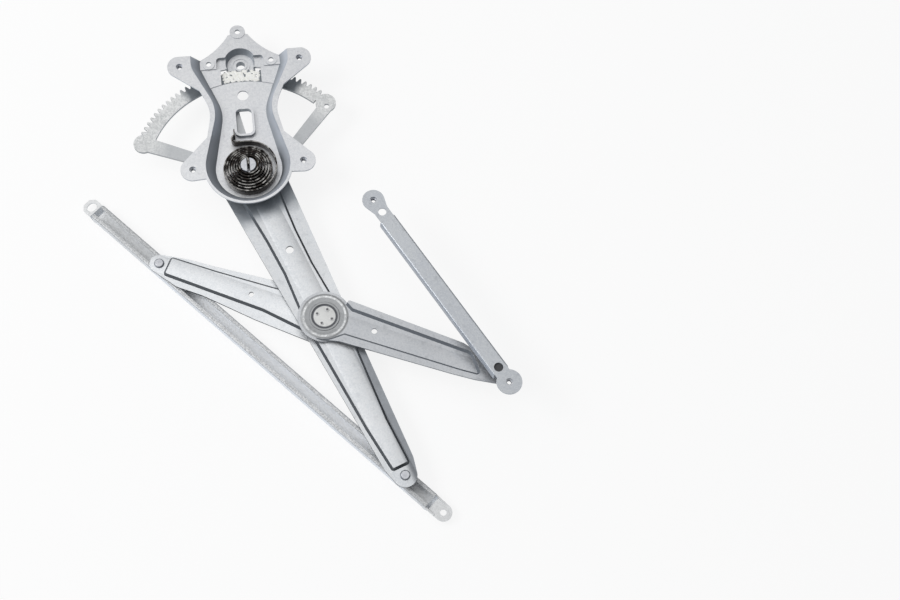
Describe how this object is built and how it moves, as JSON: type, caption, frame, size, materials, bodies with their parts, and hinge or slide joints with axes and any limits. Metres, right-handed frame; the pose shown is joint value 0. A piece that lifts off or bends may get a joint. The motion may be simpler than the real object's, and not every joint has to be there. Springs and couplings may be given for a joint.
{
  "type": "window regulator",
  "caption": "Cross-arm window regulator: base plate with spiral spring, toothed sector on a lift arm, equalizer arm, guide rail and glass lift channel.",
  "frame": {"origin": "on the lift arm's pivot axis, in the plane of the base plate's ears that meets the door panel", "axes": "+X along the lift channel towards its right end, +Y from the channel towards the pivot, +Z out of the mounting plane towards the cabin"},
  "size_m": [0.5361, 0.2852, 0.054],
  "materials": {
    "plate_steel": "galvanised sheet, light grey",
    "arm_steel": "galvanised sheet",
    "sector_steel": "stamped galvanised sheet with greased teeth",
    "channel_steel": "rolled galvanised strip",
    "rail_steel": "rolled galvanised strip",
    "spring_steel": "oiled blue-black spring strip",
    "rivet_steel": "zinc-plated",
    "nut_steel": "zinc-plated",
    "bush_brass": "sintered bush, dull",
    "roller_plastic": "dark nylon"
  },
  "bodies": {
    "base": {"base_plate": "plate_steel", "ear_nut_upper_left": "nut_steel", "ear_nut_upper_right": "nut_steel", "ear_nut_lower_left": "nut_steel", "ear_nut_lower_right": "nut_steel", "arbor_bush": "bush_brass", "spiral_spring": "spring_steel"},
    "lift_arm": {"lift_arm": "arm_steel", "sector_gear": "sector_steel", "sector_rivet_1": "rivet_steel", "sector_rivet_2": "rivet_steel", "sector_rivet_3": "rivet_steel", "pivot_arbor": "rivet_steel", "pivot_washer": "rivet_steel", "lift_stud": "rivet_steel"},
    "lift_roller": {"lift_roller": "roller_plastic"},
    "lift_channel": {"lift_channel": "channel_steel"},
    "equalizer": {"equalizer_front_arm": "arm_steel", "equalizer_rear_arm": "arm_steel", "hub_collar": "rivet_steel", "hub_washer_front": "rivet_steel", "hub_washer_rear": "rivet_steel", "left_stud": "rivet_steel", "guide_stud": "rivet_steel"},
    "left_roller": {"left_roller": "roller_plastic"},
    "guide_roller": {"guide_roller": "roller_plastic"},
    "guide_rail": {"guide_rail": "rail_steel", "rail_nut_upper": "nut_steel", "rail_nut_lower": "nut_steel"}
  },
  "joints": [
    {"name": "lift_arm_pivot", "type": "hinge", "parent": "base", "child": "lift_arm", "pos_m": [0, 0, -0.0125], "axis": [0, 0, 1], "range_deg": [-42, 42], "deforming": ["spiral_spring"]},
    {"name": "equalizer_pivot", "type": "hinge", "parent": "lift_arm", "child": "equalizer", "pos_m": [0.16713, -0.06685, -0.0179], "axis": [0, 0, 1], "range_deg": [-84, 84]},
    {"name": "lift_roller_swivel", "type": "hinge", "parent": "lift_arm", "child": "lift_roller", "pos_m": [0.33286, -0.13314, -0.0365], "axis": [0, 0, 1], "range_deg": [-42, 42]},
    {"name": "lift_channel_slide", "type": "slide", "parent": "lift_roller", "child": "lift_channel", "axis": [1, 0, 0], "range_m": [-0.025, 0.055]},
    {"name": "left_roller_spin", "type": "hinge", "parent": "equalizer", "child": "left_roller", "pos_m": [0.00139, -0.13314, -0.0365], "axis": [0, 0, 1], "continuous": true},
    {"name": "guide_rail_swivel", "type": "hinge", "parent": "equalizer", "child": "guide_roller", "pos_m": [0.33426, 0, 0.006], "axis": [0, 0, 1], "continuous": true},
    {"name": "guide_rail_slide", "type": "slide", "parent": "guide_roller", "child": "guide_rail", "axis": [0.9707, -0.2402, 0], "range_m": [0, 0.182]}
  ],
  "couplings": [
    {"joint": "equalizer_pivot", "follows": "lift_arm_pivot", "ratio": -2},
    {"joint": "lift_roller_swivel", "follows": "lift_arm_pivot", "ratio": -1}
  ]
}
